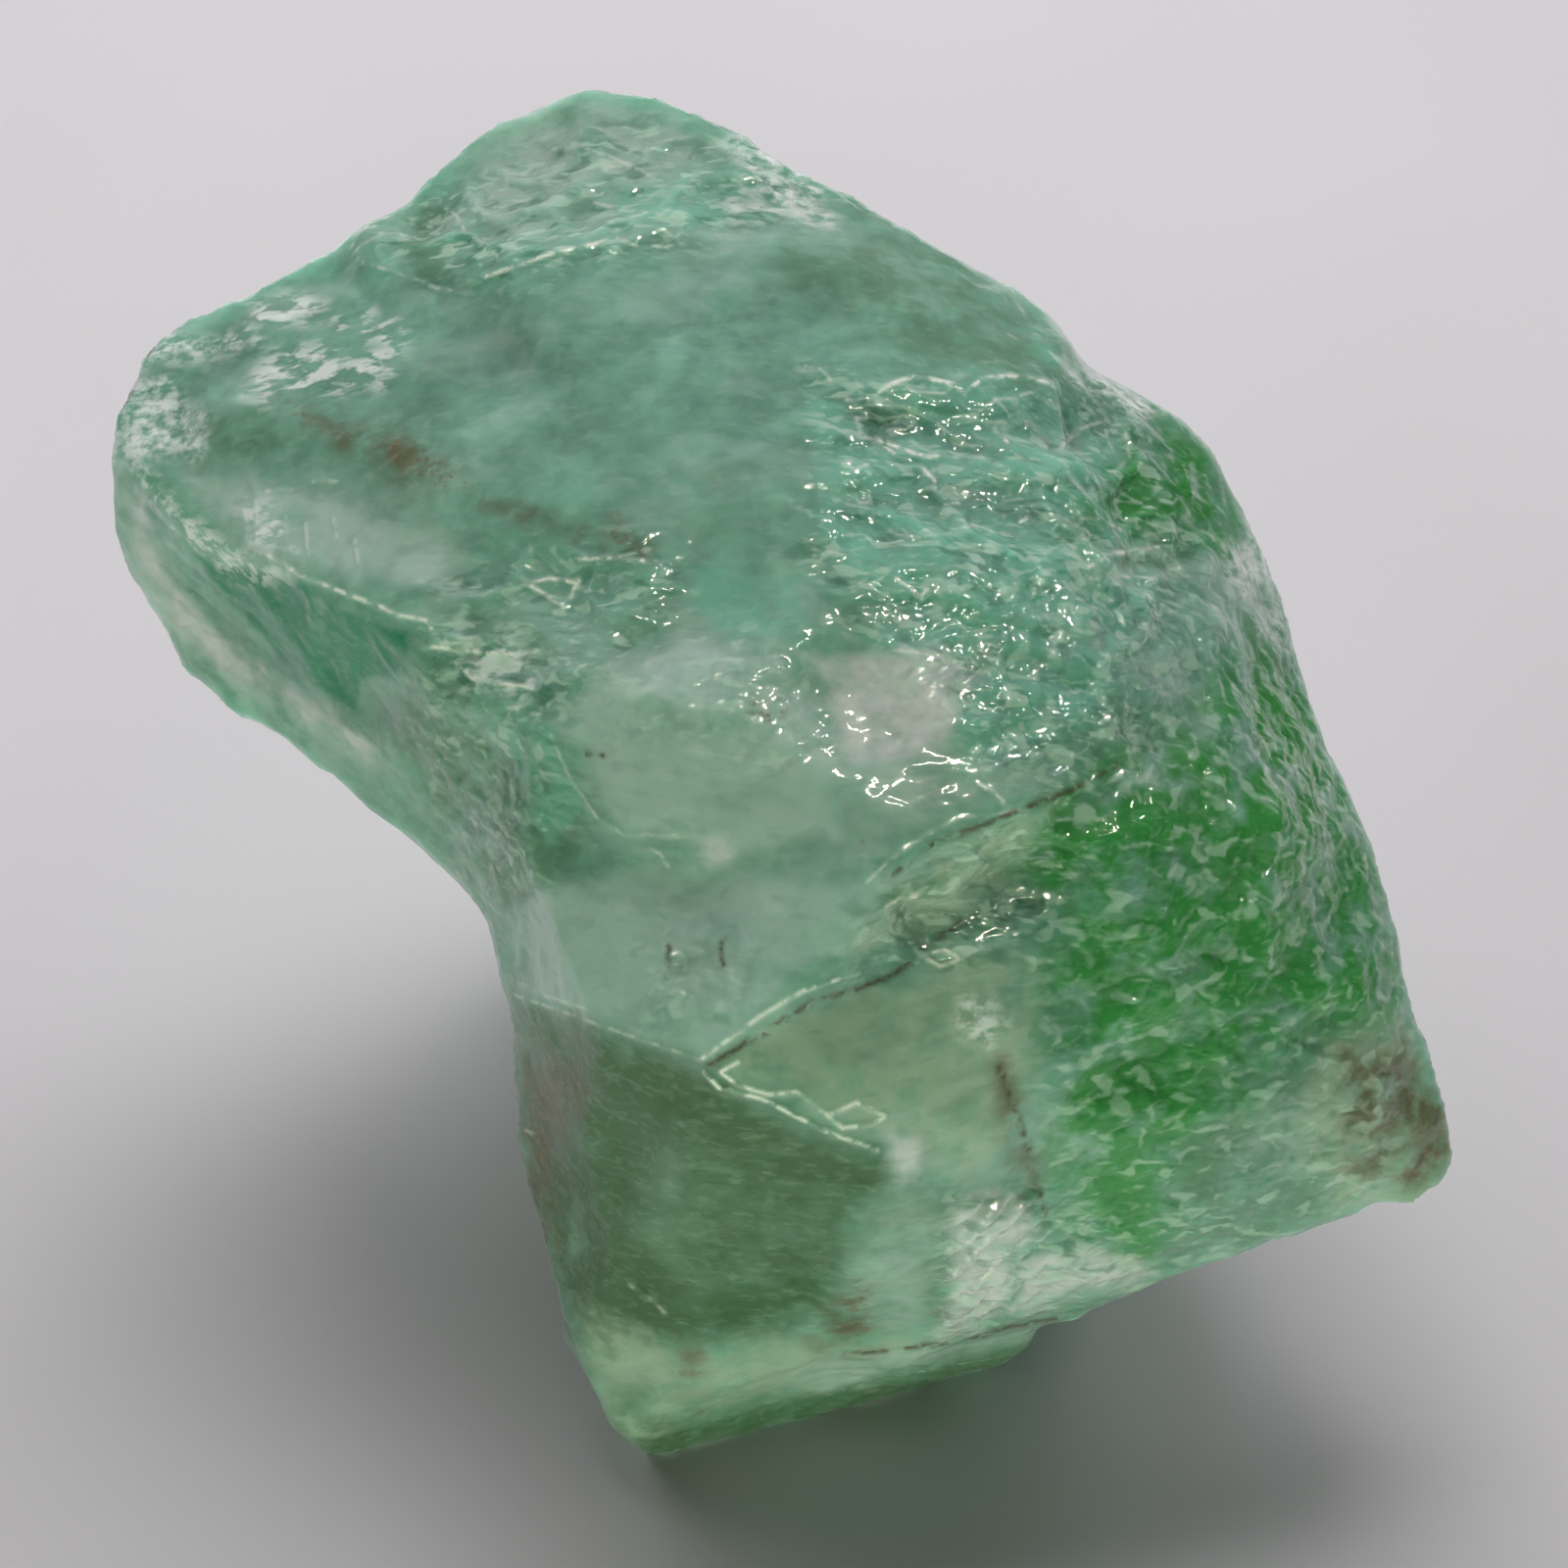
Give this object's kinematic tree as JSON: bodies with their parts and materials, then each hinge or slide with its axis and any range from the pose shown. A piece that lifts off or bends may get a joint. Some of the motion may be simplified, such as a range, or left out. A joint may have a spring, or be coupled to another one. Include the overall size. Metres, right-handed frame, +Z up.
{
  "type": "rough green calcite",
  "caption": "Palm-sized rough chunk of translucent green calcite with a worn glossy top, a lobe on the left, a sharp front corner and a flat foot to rest on.",
  "frame": {"origin": "middle of the bounding box, on the flat underside that the stone rests on", "axes": "+X towards the brown tip on the right, +Y towards the back, +Z up; the worn top and the front corner face -Y"},
  "size_m": [0.0618, 0.0482, 0.0445],
  "materials": {
    "calcite": "translucent green calcite, acid-washed to a waxy gloss, with white flecks, rust stains and cloudy patches"
  },
  "bodies": {
    "root": {"calcite_stone": "calcite"}
  },
  "joints": []
}
